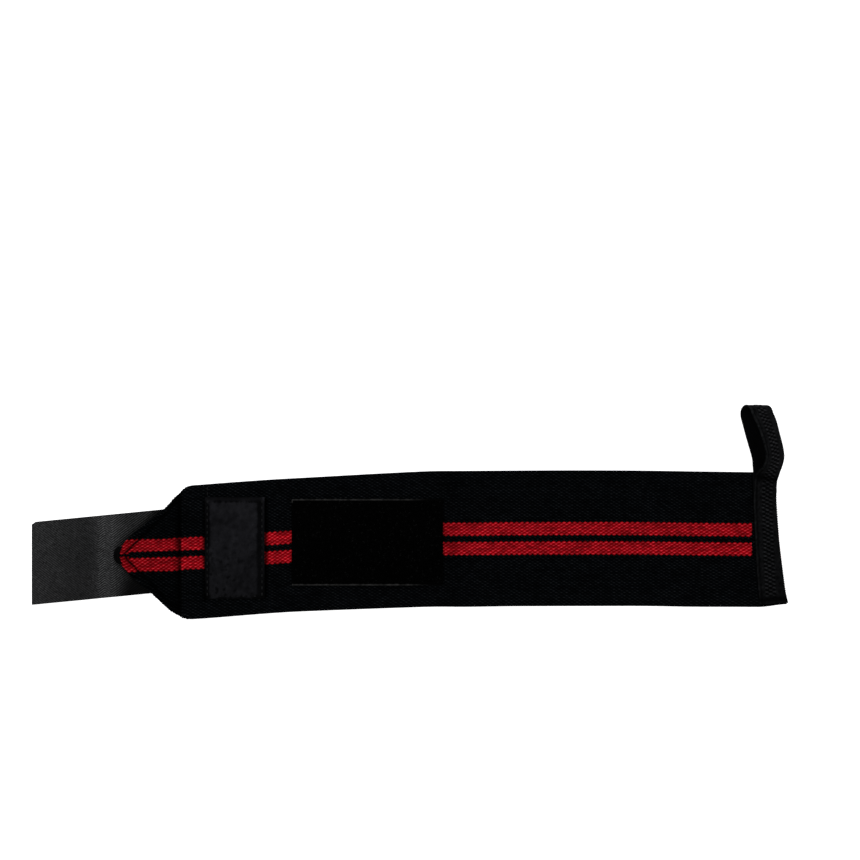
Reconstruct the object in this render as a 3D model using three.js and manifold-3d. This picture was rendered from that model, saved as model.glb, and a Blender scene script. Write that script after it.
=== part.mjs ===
// Wrist wrap, lying outer face up: an elastic band whose end is folded to a point, a hook
// tape tab under that point, a label, a pile patch and a thumb loop of narrow elastic tape.
// Millimetres, +Z up, +X from the point towards the thumb loop's end.
import * as THREE from "three";
import Module from "manifold-3d";

const wasm = await Module();
wasm.setup();

// Elastic band
const bandLength = 396;       // from the point to the upper corner of the sewn end
const bandWidth = 81.4;
const bandThickness = 2.0;
const selvedgeRound = 0.7;    // how far a selvedge bulges past its corners
const bandStep = 4.5;         // spacing of the band's sections
const bandDivisions = 8;      // facets across the band
const endFlare = 7.2;         // how far the sewn end's lower corner lies past its upper one
const endFlareRun = 60;       // the length of band that this flare is drawn from
const endFlarePower = 1.6;
const waveHeight = 2.4;       // height of the band's highest wave off the surface

// Folded point
const tipLength = 43;         // from the point to its shoulders
const foldGap = 0.3;          // space between the folded layers
const flapSlit = 0.6;         // space between the two flaps, along the centreline
const flapLength = 40;        // from the point to the flaps' ends
const tipFallRun = 35;        // the length in which the band falls from the point's stack
const tipOverlap = 6;         // length of single layer that runs inside the folded point
const tipInset = 0.05;        // how much smaller than the top layer that length is
const tipStep = 3;
const foldSteps = 4;

// Space between pieces that are sewn on one another
const sewnGap = 0.3;

// Hook tape tab
const tabLength = 90.2;
const tabWidth = 49.4;
const tabThickness = 1.8;
const tabAngle = 5.6;         // degrees between the tab and the band
const tabShift = 2.2;         // of the sewn end, off the band's centreline
const tabWave = 1.1;
const tabStep = 4;
const tapeEdgeRound = 0.3;
const tapeDivisions = 2;      // facets across a tape, a label or a patch

// Label
const labelLength = 35.7;
const labelWidth = 60.9;
const labelThickness = 0.8;
const labelSetback = 11.3;    // from the shoulders
const labelShift = 0.8;

// Pile patch
const patchLength = 90.6;
const patchWidth = 51;
const patchThickness = 2.0;
const patchSetback = 16.2;    // from the label
const patchShift = 0;
const coverStep = 3;

// Thumb loop
const loopTapeWidth = 13.2;
const loopTapeThickness = 1.3;
const loopReach = 40.5;       // past the band's upper edge
const loopGape = 12;          // how far the legs stand apart
const loopRest = 0.2;         // from the surface to the lower leg's edge
const loopRampRun = 7;        // the length in which the sewn run climbs over the tucked end
const loopEndMargin = 0.6;    // from the band's lower edge to the end of the sewn run
const loopDrift = 3.0;        // how far the sewn run's lower end lies past its upper one
const loopFlush = 0.5;        // how far the tape stands past the band's end at the top
const loopStopGap = 13.5;     // spacing of the sewn run's stops
const loopSplit = 4;          // sections between two stops of the path
const turnAngles = [30, 60, 90, 120, 150];   // stops of the loop's end, from leg to leg

// How the band lies, by shares of its length: sway is sideways, as a share of the length,
// spread of the width, wave of the wave height, and bias lifts one selvedge more.
const bandLie = [
  { along: 0.000, sway: -0.0256, spread: 0.985, wave: 0.0, bias: 0.0 },
  { along: 0.110, sway: -0.0214, spread: 0.985, wave: 0.0, bias: 0.0 },
  { along: 0.165, sway: -0.0178, spread: 0.988, wave: 0.0, bias: 0.0 },
  { along: 0.235, sway: -0.0125, spread: 0.985, wave: 0.5, bias: 0.3 },
  { along: 0.280, sway: -0.0100, spread: 0.985, wave: 0.0, bias: 0.0 },
  { along: 0.470, sway: -0.0015, spread: 1.000, wave: 0.0, bias: 0.0 },
  { along: 0.535, sway: -0.0008, spread: 1.000, wave: 0.9, bias: -0.4 },
  { along: 0.610, sway: -0.0004, spread: 1.000, wave: 0.0, bias: 0.0 },
  { along: 0.700, sway: 0.0000, spread: 1.000, wave: 0.6, bias: 0.5 },
  { along: 0.800, sway: -0.0003, spread: 0.998, wave: 0.0, bias: 0.0 },
  { along: 0.875, sway: -0.0013, spread: 0.997, wave: 0.4, bias: -0.5 },
  { along: 0.940, sway: -0.0020, spread: 0.995, wave: 0.0, bias: 0.0 },
  { along: 1.000, sway: -0.0025, spread: 0.992, wave: 0.0, bias: 0.0 },
];

// Outline of the point: along as a share of its length, and the distance from the centreline
// to the fold above it and below it, as shares of half the width
const tipOutline = [
  { along: 0.00, above: 0.08, below: 0.09 },
  { along: 0.05, above: 0.14, below: 0.15 },
  { along: 0.54, above: 0.55, below: 0.60 },
  { along: 0.70, above: 0.67, below: 0.78 },
  { along: 0.90, above: 0.91, below: 0.96 },
  { along: 1.00, above: 0.985, below: 0.995 },
  { along: 1.06, above: 1.00, below: 1.00 },
];

// How the band falls past the flaps' ends: a step, then a slope
const stackFall = [
  { along: 0.00, level: 1.0 },
  { along: 0.12, level: 0.7 },
  { along: 1.00, level: 0.0 },
];

// Lift of the tab, from its free end to its sewn end
const tabLie = [
  { along: 0.00, lift: 0.0 },
  { along: 0.12, lift: 0.0 },
  { along: 0.30, lift: 0.5 },
  { along: 0.46, lift: 0.1 },
  { along: 0.64, lift: 1.0 },
  { along: 0.82, lift: 0.5 },
  { along: 1.00, lift: 0.0 },
];

// The thumb loop's two legs past the band's upper edge. out is a share of the loop's reach
// and side of the tape's width, and roll turns the tape (degrees). settle is how far the
// lower leg has come down from the band to the surface, and rise lifts the upper leg, as a
// share of the loop's gape.
const lowerLeg = [
  { out: -0.300, side: 0.000, settle: 0.0, roll: 0 },
  { out: -0.100, side: 0.000, settle: 0.0, roll: 0 },
  { out: 0.012, side: 0.010, settle: 0.0, roll: 0 },
  { out: 0.110, side: -0.060, settle: 0.5, roll: 18 },
  { out: 0.250, side: -0.200, settle: 1.0, roll: 36 },
  { out: 0.490, side: -0.425, settle: 1.0, roll: 37 },
  { out: 0.720, side: -0.590, settle: 1.0, roll: 33 },
  { out: 0.870, side: -0.690, settle: 1.0, roll: 31 },
];
const upperLeg = [
  { out: -0.100, side: 0.050, rise: 0.01, roll: 2 },
  { out: 0.000, side: 0.135, rise: 0.10, roll: 10 },
  { out: 0.080, side: 0.235, rise: 0.30, roll: 28 },
  { out: 0.250, side: 0.290, rise: 0.62, roll: 38 },
  { out: 0.490, side: 0.135, rise: 0.78, roll: 38 },
  { out: 0.720, side: -0.100, rise: 0.77, roll: 34 },
  { out: 0.870, side: -0.295, rise: 0.66, roll: 31 },
];

function ease(share) {
  const t = Math.min(Math.max(share, 0), 1);
  return t * t * (3 - 2 * t);
}

function degrees(angle) {
  return THREE.MathUtils.degToRad(angle);
}

// The row just before a place in a table, the one after it, and the share of the way between
function between(rows, along) {
  let index = 0;
  while (index < rows.length - 2 && along > rows[index + 1].along) index += 1;
  const span = rows[index + 1].along - rows[index].along;
  const share = Math.min(Math.max((along - rows[index].along) / span, 0), 1);
  return { index, share };
}

// A column that comes level at each of its rows, as a wave does
function eased(rows, column, along) {
  const { index, share } = between(rows, along);
  const from = rows[index][column];
  return from + (rows[index + 1][column] - from) * ease(share);
}

function straight(rows, column, along) {
  const { index, share } = between(rows, along);
  const from = rows[index][column];
  return from + (rows[index + 1][column] - from) * share;
}

// A column that runs smoothly through its rows
function smooth(rows, column, along) {
  const { index, share } = between(rows, along);
  const last = rows.length - 1;
  const nearby = [-1, 0, 1, 2].map((step) => rows[Math.min(Math.max(index + step, 0), last)]);
  const slope = (a, b) => (b[column] - a[column]) / (b.along - a.along);
  const span = nearby[2].along - nearby[1].along;
  const startSlope = slope(nearby[0], nearby[2]) * span;
  const endSlope = slope(nearby[1], nearby[3]) * span;
  const s2 = share * share;
  const s3 = s2 * share;
  return nearby[1][column] * (2 * s3 - 3 * s2 + 1) + nearby[2][column] * (3 * s2 - 2 * s3)
    + startSlope * (s3 - 2 * s2 + share) + endSlope * (s3 - s2);
}

function spaced(from, to, count) {
  return Array.from({ length: count + 1 }, (_, i) => from + ((to - from) * i) / count);
}

function stations(from, to, step) {
  return spaced(from, to, Math.max(2, Math.ceil((to - from) / step)));
}

// The signed area of a ring of points in the plane
function ringArea(ring) {
  return ring.reduce((sum, p, i) => {
    const q = ring[(i + 1) % ring.length];
    return sum + (p.x * q.y - q.x * p.y) / 2;
  }, 0);
}

// A solid through rings of the same number of points. Each ring is { flat, placed }: its
// outline in its own plane, which closes the two ends, and its points in space.
function loft(rings) {
  const size = rings[0].placed.length;
  const index = [];
  for (let ring = 0; ring < rings.length - 1; ring += 1) {
    for (let point = 0; point < size; point += 1) {
      const a = ring * size + point;
      const b = ring * size + ((point + 1) % size);
      index.push(a, b, b + size, a, b + size, a + size);
    }
  }
  closeEnd(index, rings[0].flat, 0, false);
  closeEnd(index, rings.at(-1).flat, (rings.length - 1) * size, true);
  const positions = rings.flatMap((ring) => ring.placed.flatMap((p) => [p.x, p.y, p.z]));
  return outward(positions, index);
}

function closeEnd(index, flat, first, forward) {
  const turn = Math.sign(ringArea(flat)) * (forward ? 1 : -1);
  for (const [a, b, c] of THREE.ShapeUtils.triangulateShape(flat, [])) {
    const sameTurn = ringArea([flat[a], flat[b], flat[c]]) * turn > 0;
    index.push(first + a, first + (sameTurn ? b : c), first + (sameTurn ? c : b));
  }
}

// A geometry whose faces point out of the solid
function outward(positions, index) {
  const corner = (i) => new THREE.Vector3().fromArray(positions, index[i] * 3);
  let volume = 0;
  for (let i = 0; i < index.length; i += 3) {
    volume += corner(i).dot(corner(i + 1).cross(corner(i + 2))) / 6;
  }
  if (volume < 0) index.reverse();
  const geometry = new THREE.BufferGeometry();
  geometry.setAttribute("position", new THREE.Float32BufferAttribute(positions, 3));
  geometry.setIndex(index);
  return geometry;
}

function toSolid(geometry) {
  return new wasm.Manifold(new wasm.Mesh({
    numProp: 3,
    vertProperties: new Float32Array(geometry.attributes.position.array),
    triVerts: new Uint32Array(geometry.index.array),
  }));
}

function toGeometry(solid) {
  const mesh = solid.getMesh();
  const geometry = new THREE.BufferGeometry();
  geometry.setAttribute("position", new THREE.BufferAttribute(mesh.vertProperties, 3));
  geometry.setIndex(new THREE.BufferAttribute(mesh.triVerts, 1));
  return geometry;
}

const tabRun = tabLength * Math.cos(degrees(tabAngle));

// How high the tab's underside lies, for a place along the band
function tabRise(along) {
  const fromFreeEnd = along - (flapLength - tabRun);
  return tabWave * eased(tabLie, "lift", fromFreeEnd / tabRun);
}

const flapBase = tabThickness + sewnGap;
const stackHeight = flapBase + bandThickness + foldGap;

// The underside of the band's single layer
function bandUnderside(along, across) {
  const share = along / bandLength;
  const wave = waveHeight * eased(bandLie, "wave", share);
  const bias = 1 + (eased(bandLie, "bias", share) * across) / (bandWidth / 2);
  const stack = stackHeight * eased(stackFall, "level", (along - flapLength) / tipFallRun);
  return stack + tabRise(along) + wave * bias;
}

// A point of the band: along it, across it, and above its underside
function onBand(along, across, height) {
  const lower = Math.min(Math.max(0.5 - across / bandWidth, 0), 1);
  const flare = endFlare * lower ** endFlarePower;
  const nearEnd = ease((along - bandLength + endFlareRun) / endFlareRun);
  const sway = bandLength * smooth(bandLie, "sway", along / bandLength);
  const z = bandUnderside(along, across) + height;
  return new THREE.Vector3(along + flare * nearEnd, across + sway, z);
}

function halfWidth(along, side) {
  const spread = smooth(bandLie, "spread", along / bandLength);
  return (bandWidth / 2) * spread * straight(tipOutline, side, along / tipLength);
}

function ringOf(flat, place) {
  return { flat, placed: flat.map(place) };
}

// A section of a flat ribbon with rounded edges, from one side to the other
function ribbonSection(low, high, base, thickness, round, divisions) {
  const across = spaced(low + round, high - round, divisions);
  const top = across.map((y) => new THREE.Vector2(y, base + thickness));
  const bottom = across.map((y) => new THREE.Vector2(y, base)).reverse();
  const middle = base + thickness / 2;
  return [...top, new THREE.Vector2(high, middle), ...bottom, new THREE.Vector2(low, middle)];
}

function tapeSection(halfSpan, base, thickness) {
  return ribbonSection(-halfSpan, halfSpan, base, thickness, tapeEdgeRound, tapeDivisions);
}

function arc(centre, radius, from, to) {
  return spaced(degrees(from), degrees(to), foldSteps).map((angle) => new THREE.Vector2(
    centre.x + radius * Math.cos(angle),
    centre.y + radius * Math.sin(angle),
  ));
}

// The section of the folded point: a top layer, a fold at each side and two flaps under it
function foldedSection(along) {
  const outer = bandThickness + foldGap / 2;
  const above = new THREE.Vector2(halfWidth(along, "above") - outer, outer);
  const below = new THREE.Vector2(outer - halfWidth(along, "below"), outer);
  return [
    new THREE.Vector2(flapSlit / 2, 0),
    ...arc(above, outer, -90, 90),
    ...arc(below, outer, 90, 270),
    new THREE.Vector2(-flapSlit / 2, 0),
    new THREE.Vector2(-flapSlit / 2, bandThickness),
    ...arc(below, foldGap / 2, 270, 90),
    ...arc(above, foldGap / 2, 90, -90),
    new THREE.Vector2(flapSlit / 2, bandThickness),
  ];
}

function foldedPoint() {
  const drop = stackHeight - flapBase;
  return loft(stations(0, flapLength, tipStep).map((along) => ringOf(
    foldedSection(along),
    (p) => onBand(along, p.x, p.y - drop),
  )));
}

// The band's single layer. It starts inside the point's top layer, a little smaller.
function singleLayer() {
  const fold = bandThickness + foldGap;
  const section = (along, narrower, inset) => ribbonSection(
    narrower - halfWidth(along, "below"),
    halfWidth(along, "above") - narrower,
    inset,
    bandThickness - 2 * inset,
    selvedgeRound,
    bandDivisions,
  );
  const hidden = [flapLength - tipOverlap, flapLength - foldGap];
  const slope = stations(flapLength + selvedgeRound, flapLength + tipFallRun, tipStep);
  const open = [...slope, ...stations(slope.at(-1), bandLength, bandStep).slice(1)];
  const ring = (along, flat) => ringOf(flat, (p) => onBand(along, p.x, p.y));
  return loft([
    ...hidden.map((along) => ring(along, section(along, fold, tipInset))),
    ...open.map((along) => ring(along, section(along, 0, 0))),
  ]);
}

function elasticBand() {
  return toGeometry(toSolid(foldedPoint()).add(toSolid(singleLayer())));
}

// The hook tape tab runs askew under the point, and both its ends are cut square to the band
function hookTab() {
  const angle = degrees(tabAngle);
  const halfSpan = tabWidth / (2 * Math.cos(angle));
  const sewnEnd = onBand(flapLength, tabShift, 0);
  const section = tapeSection(halfSpan, 0, tabThickness);
  return loft(stations(0, tabRun, tabStep).map((fromSewnEnd) => ringOf(section, (p) => {
    const x = sewnEnd.x - fromSewnEnd;
    const y = sewnEnd.y - fromSewnEnd * Math.tan(angle) + p.x;
    return new THREE.Vector3(x, y, tabRise(x) + p.y);
  })));
}

// A straight flat piece sewn on the band's outer face, which rises and falls with the band
function cover(start, length, width, thickness, shift) {
  const section = tapeSection(width / 2, 0, thickness);
  const middle = onBand(start + length / 2, shift, 0).y;
  const base = bandThickness + sewnGap;
  return loft(stations(start, start + length, coverStep).map((along) => ringOf(section, (p) => {
    const y = middle + p.x;
    const across = y - onBand(along, 0, 0).y;
    return new THREE.Vector3(along, y, bandUnderside(along, across) + base + p.y);
  })));
}

const labelStart = tipLength + labelSetback;
const patchStart = labelStart + labelLength + patchSetback;

// Heights of the thumb loop's tape where it lies on the band, and over its own tucked end
const tapeHeight = sewnGap + loopTapeThickness / 2;
const tapeOverHeight = tapeHeight + loopTapeThickness + sewnGap;

// The loop tape's middle, for a distance out past the band's upper edge, a distance
// sideways and a height over the band
function tapePoint(out, side, height) {
  const upperEdge = halfWidth(bandLength, "above");
  const lower = Math.max(-out / bandWidth, 0);
  const inset = loopTapeWidth / 2 - loopFlush;
  const along = bandLength - inset + loopDrift * lower ** endFlarePower;
  const across = Math.min(upperEdge + out, upperEdge);
  const x = along + side;
  const y = upperEdge + out + bandLength * bandLie.at(-1).sway;
  return new THREE.Vector3(x, y, bandUnderside(along, across) + bandThickness + height);
}

function lowerLegStop(row) {
  const roll = degrees(row.roll);
  const point = tapePoint(row.out * loopReach, row.side * loopTapeWidth, tapeHeight);
  const edgeDrop = (loopTapeWidth * Math.sin(roll) + loopTapeThickness * Math.cos(roll)) / 2;
  point.z += (loopRest + edgeDrop - point.z) * row.settle;
  return { point, roll };
}

function upperLegStop(row) {
  const height = tapeOverHeight + row.rise * loopGape;
  const point = tapePoint(row.out * loopReach, row.side * loopTapeWidth, height);
  return { point, roll: degrees(row.roll) };
}

// The stops of the loop's end, half round from the upper leg to the lower one
function turnStops(upper, lower) {
  const centre = upper.point.clone().add(lower.point).multiplyScalar(0.5);
  const spoke = upper.point.clone().sub(centre);
  const furthest = tapePoint(loopReach - loopTapeThickness / 2, 0, 0).y;
  return turnAngles.map((angle) => {
    const point = centre.clone().addScaledVector(spoke, Math.cos(degrees(angle)));
    point.y += (furthest - centre.y) * Math.sin(degrees(angle));
    return { point, roll: upper.roll };
  });
}

// The stops of the tape's path, each a middle point and a roll: up the band's sewn end over
// its own tucked end, out along the upper leg, round, and back along the lower leg
function loopStops() {
  const bandSpan = halfWidth(bandLength, "above") + halfWidth(bandLength, "below");
  const tuckOut = lowerLeg[0].out * loopReach;
  const rampTop = tuckOut - sewnGap;
  const flatRun = stations(loopEndMargin - bandSpan, rampTop - loopRampRun, loopStopGap);
  const upper = upperLeg.map(upperLegStop);
  const lower = lowerLeg.map(lowerLegStop).reverse();
  return [
    ...flatRun.map((out) => ({ point: tapePoint(out, 0, tapeHeight), roll: 0 })),
    { point: tapePoint(rampTop, 0, tapeOverHeight), roll: 0 },
    ...upper,
    ...turnStops(upper.at(-1), lower[0]),
    ...lower,
  ];
}

function thumbLoop() {
  const stops = loopStops();
  const curve = new THREE.CatmullRomCurve3(stops.map((stop) => stop.point));
  const section = tapeSection(loopTapeWidth / 2, -loopTapeThickness / 2, loopTapeThickness);
  const spans = stops.length - 1;
  return loft(spaced(0, spans, spans * loopSplit).map((place) => {
    const before = Math.min(Math.floor(place), spans - 1);
    const roll = THREE.MathUtils.lerp(stops[before].roll, stops[before + 1].roll, place - before);
    const middle = curve.getPoint(place / spans);
    const forward = curve.getTangent(place / spans);
    const wide = new THREE.Vector3(Math.cos(roll), 0, -Math.sin(roll));
    wide.addScaledVector(forward, -wide.dot(forward)).normalize();
    const up = wide.clone().cross(forward);
    return ringOf(section, (p) => middle.clone().addScaledVector(wide, p.x).addScaledVector(up, p.y));
  }));
}

function piece(name, geometry, color, roughness) {
  const material = new THREE.MeshStandardMaterial({ color, roughness, metalness: 0 });
  const mesh = new THREE.Mesh(geometry, material);
  mesh.name = name;
  return mesh;
}

const label = cover(labelStart, labelLength, labelWidth, labelThickness, labelShift);
const patch = cover(patchStart, patchLength, patchWidth, patchThickness, patchShift);

const wristWrap = new THREE.Group();
wristWrap.add(
  piece("elastic_band", elasticBand(), 0x0b0b0c, 0.9),
  piece("hook_tab", hookTab(), 0x2b2b2c, 0.6),
  piece("label", label, 0x161617, 0.6),
  piece("pile_patch", patch, 0x040404, 1.0),
  piece("thumb_loop", thumbLoop(), 0x101011, 0.8),
);

// The origin is under the middle of the whole, on the surface that it lies on
const reach = new THREE.Box3().setFromObject(wristWrap);
const middle = reach.getCenter(new THREE.Vector3());
wristWrap.position.set(-middle.x, -middle.y, -reach.min.z);

export default wristWrap;
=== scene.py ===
"""Looks of the wrist wrap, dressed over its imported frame. Lengths are in metres."""
import math

import bpy
import numpy as np
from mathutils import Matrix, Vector
from mathutils.bvhtree import BVHTree


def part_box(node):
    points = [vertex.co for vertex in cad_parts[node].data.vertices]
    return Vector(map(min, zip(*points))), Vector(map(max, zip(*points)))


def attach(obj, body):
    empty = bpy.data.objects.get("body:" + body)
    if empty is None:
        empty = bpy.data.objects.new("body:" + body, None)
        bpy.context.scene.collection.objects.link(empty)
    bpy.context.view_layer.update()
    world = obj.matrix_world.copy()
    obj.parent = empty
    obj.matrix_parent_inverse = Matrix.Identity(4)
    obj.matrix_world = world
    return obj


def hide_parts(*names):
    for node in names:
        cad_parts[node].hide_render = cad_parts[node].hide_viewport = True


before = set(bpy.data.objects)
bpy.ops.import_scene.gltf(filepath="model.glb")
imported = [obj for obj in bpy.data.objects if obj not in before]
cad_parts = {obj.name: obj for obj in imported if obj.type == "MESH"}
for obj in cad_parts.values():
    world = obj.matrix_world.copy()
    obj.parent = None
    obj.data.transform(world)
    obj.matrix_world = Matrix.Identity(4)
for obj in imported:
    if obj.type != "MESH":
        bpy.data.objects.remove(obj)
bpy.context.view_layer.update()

MM = 0.001
SEED = 7

# Picture: the camera looks straight down on the middle of the frame
PICTURE_X = 12.3 * MM
PICTURE_Y = 49.1 * MM
PICTURE_WIDTH = 516 * MM  # of floor that the picture takes in
CAMERA_HEIGHT = 1.4
SENSOR = 36.0
FLOOR_SIZE = 8
FLOOR_BELOW = 0.3 * MM
FLOOR_WHITE = 0.9
FLOOR_GLOW = 0.75
WORLD_LIGHT = 0.6

# Measuring the frame
PROBES = np.linspace(0.25, 0.75, 5)  # shares of a node's width, where its top is read
PROBE_STEP = 1.5 * MM
PROBE_INSET = 0.15 * MM
PROBE_SMOOTH = 3
END_STATIONS = 30  # steps back from the sewn end to where its width is read
END_PLACES = 40  # across that end
END_SMOOTH = 5

# Band: a woven lattice of lens-shaped beads, in rows along the band
BAND_THICKNESS = 2.0 * MM
BEAD_PITCH = 3.15 * MM  # along a row
BEAD_COLUMNS = 4  # lattice columns for each bead
BEAD_ROWS = 84  # rows across the band
SPARE_ROWS = 3  # past its edges
BEAD_HEIGHT = 0.36 * MM
BEAD_LEVEL = 0.6  # the relief that lies level with the frame
BEAD_LIGHT = (0.55, 1.45)  # least and most tone of a bead
ROW_LIGHT = (0.9, 1.1)
BEAD_LEAN = 0.3  # columns that a bead shifts by in a row: red ones rise, black ones fall
SELVEDGE_ROUND = 0.7 * MM
STRIPE_FIRST_ROW = 2  # rows from the centreline to a stripe
STRIPE_ROWS = 8
STRIPE_DIP = 1.0 * MM  # how far the stripes run below the middle, near the label
STRIPE_DIP_X = -85 * MM
STRIPE_DIP_RUN = 60 * MM
STRIPE_END_X = 205.0 * MM  # where the stripes stop, short of the loop's tape; past it the band is black, a painted shadow beside the tape
FLARE_RUN = 60 * MM  # the length of band that the sewn end's flare is drawn from
CORNER_LIFT = 1.7 * MM  # how far the lower corner of the sewn end draws in
CORNER_LENGTH = 16 * MM

# Folded point
TIP_LENGTH = 43 * MM  # from the point to its shoulders
TIP_RAW_END = 3.2 * MM  # from the point to the raw edge inside it
TIP_HALF = 3.4 * MM  # half the width of the blunt point
TIP_GAP_RUN = 9 * MM  # the length of the point where the stripes run closer together
FOLD_GAP = 0.3 * MM  # between the folded layers
FOLD_OUTER = BAND_THICKNESS + FOLD_GAP / 2
FOLD_INNER = FOLD_GAP / 2
FOLD_MIDDLE = (FOLD_OUTER + FOLD_INNER) / 2
CENTRE_FROM = 49 * MM  # from the point to where its centreline starts to run straight
CENTRE_RUN = 86 * MM  # the length of band that gives the centreline's slope there
CENTRE_TURN = 0.6  # share of that slope which the point keeps
NOSE_RUN = 6 * MM  # how far the point's blunt end is drawn in, and by how much
NOSE_SHARE = 0.5
SEAM_START = (7.2 * MM, 1.5 * MM)  # the V seam: along and across, at its apex
SEAM_END = (39 * MM, 33.5 * MM)  # and at the shoulders
SEAM_POINTS = 120
SEAM_DEPTH = 0.5 * MM
SEAM_WIDTH = 0.9 * MM
SEAM_SUNK = 0.3 * MM  # how far its threads lie below the face
CREASE_ALONG = 39.9 * MM  # from the point to the row across the flaps' ends
CREASE_DEPTH = 0.5 * MM
CREASE_SUNK = 0.6 * MM
CREASE_BEFORE = 3.0 * MM  # the crease's shade starts slowly and stops at once
CREASE_AFTER = 0.6 * MM

# Painted shade on the band
SEAM_SHADE = 0.85
CREASE_SHADE = 0.9
LABEL_SHADE = 0.9
EDGE_SHADE = 1.3 * MM  # the width of the painted shade beside the label
EDGE_SHADE_SHIFT = 0.7 * MM
PATCH_SHADE = 0.22
PATCH_SHADE_ALONG = 201 * MM  # from the point to the painted shade beside the pile patch
PATCH_SHADE_RUN = 9 * MM
POINT_TONE = 0.77  # the folded point is darker than the band, and its flaps more so
FLAP_TONE = 0.85
TAPE_SHADE = 0.35  # tone of the band past the stripes: painted shadow beside the loop's tape

# Threads
STITCH_RINGS = 7
THREAD_SIDES = 6
THREAD_ENDS = 0.6  # how thick a stitch is at its ends
THREAD_LIGHT = (0.7, 1.25)
THREAD_RELIEF = 0.8
UPRIGHT = 0.05  # a line that leans less than this counts as upright
ROW_POINTS = 150
ROW_MARGIN = 2 * MM  # from a row's ends to the edges
UNDER_POINTS = 100
END_ROWS = (3 * MM, 6 * MM)  # from the sewn end to the rows that hold the loop's tape
BAR_LENGTH = 3.4 * MM  # thread bar that closes the blunt point
BAR_BULGE = 2.0 * MM
BAR_HALF = 5.4 * MM
BAR_THREADS = 8
BAR_RADIUS = 0.3 * MM
BAR_RISE = (0.2 * MM, 0.5 * MM)
BAR_DROP = 2.2 * MM
BAR_END_DROP = 0.2 * MM
BAR_FRONT = 0.85  # the share of its width that the bar has at the point
BAR_TAPER = 0.4
OVERLOCK_PITCH = 1.5 * MM
OVERLOCK_RADIUS = 0.22 * MM
OVERLOCK_ALONG = np.array([-3.2, -1.8, -0.5, 0.25, -0.3, -1.2, -2.2]) * MM  # past the raw end
OVERLOCK_OUT = np.array([-0.05, -0.1, -0.05, 1.0, 2.05, 2.15, 2.05]) * MM  # above the back face

# Flat pieces
SHEET_ROUND = 0.35 * MM
BACK_LEVEL = 0.5  # relief and tone of a sheet's back
CORNER_SLANT = 1.6  # length of a cut corner, in its own depths
TAB_TAPE = 1.05 * MM  # the hook tape without its hooks
TAB_CORNER = 1.5 * MM  # how much of the tab's upper left corner is cut off
TAB_GRAIN = 0.22
TAB_RIM = 0.5 * MM
TAB_RIM_SHADE = 0.45
# painted shade: the tab grows darker towards its lower side
TAB_DOWN_SHADE = 0.2
TWILL_ALONG = 1.95 * MM
TWILL_ACROSS = 1.43 * MM
TWILL_HEIGHT = 0.07 * MM
TWILL_TURNS = (40 * MM, 44 * MM, 48 * MM)  # from the tab's free end to where its twill changes sides
SHEEN_END = 0.86  # painted sheen of the tab: at its free end, where it is least, and at its crest
SHEEN_LEAST = 0.48
SHEEN_CREST = 0.62
SHEEN_RUN = 33 * MM
CREST_AT = 45.5 * MM
CREST_WIDTH = 7.5 * MM
POINT_SHADE = 0.87  # painted shade where the tab runs down under the point, sooner on its lower side
SHADE_FROM = 69 * MM
SHADE_RUN = 15 * MM
SHADE_SKEW = 25 * MM
CONTACT_SHADE = 0.45  # and a painted contact shadow close beside the point's folds
CONTACT_RUN = 1.3 * MM
AHEAD_WEIGHT = 3  # ahead of the point its shade is this much narrower
HOOK_SPACING = 1.28 * MM
HOOK_MARGIN = 2 * MM
HOOK_GROUP = 4  # rows to a band of hooks, the last of them left bare
HOOK_OUT = 0.5 * MM * np.array([0.0, 0.05, 0.35, 0.75, 0.95])  # a hook's curve, outwards and down
HOOK_DOWN = 0.65 * MM * np.array([-0.4, 0.5, 0.95, 0.95, 0.5])
HOOK_WIRE = 0.12 * MM
LABEL_SIDE_SEAM = 1.5 * MM
LABEL_TOP_SEAM = 3.0 * MM
LABEL_BOTTOM_SEAM = 1.6 * MM
LABEL_RELIEF = 0.85
PANEL_LEFT = 2.9 * MM  # from the label's sides to the panel that stands up between them
PANEL_RIGHT = 4.6 * MM
PANEL_TOP = 2.9 * MM
PANEL_BOTTOM = 0.9 * MM
PANEL_SLOPE = 1.5 * MM
PANEL_HEIGHT = 0.2 * MM
PANEL_RAGGED = 0.35 * MM  # how uneven the panel's outline is
PANEL_DOWN = [0, 0.12, 0.5, 0.7, 1]  # shares of the way down it, and the tones there: a painted sheen, lighter near its top
PANEL_TONES = [0.85, 0.95, 0.92, 0.74, 0.66]
PANEL_SPOTS = 0.65
# the border's tone: painted shade in the border that the stitches press down
BORDER_TONE = 0.22
HOLE_PITCH = 3.1 * MM  # of the needle holes along the label's ends
HOLE_SIZE = 0.55 * MM
HOLE_SHADE = 0.75
SELVEDGE_POINTS = 260
SELVEDGE_SIDES = 8
SELVEDGE_RADIUS = 0.5 * MM
SELVEDGE_WAVER = 0.12 * MM
SELVEDGE_FADE = 0.93
SELVEDGE_FADE_FROM = 0.74  # share of the patch's length past which its light edges grow darker and thinner
SELVEDGE_FADE_RUN = 0.17
CORNER_DROP = 2.8 * MM  # how far the patch's upper corner is turned in
CORNER_RUN = 0.6 * MM
PILE_SPACING = 1.0 * MM
PILE_MARGIN = 1.0 * MM
PILE_LOOP = 0.5 * MM
PILE_YARN = 0.1 * MM
PILE_RINGS = 6
PILE_SIDES = 3

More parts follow.
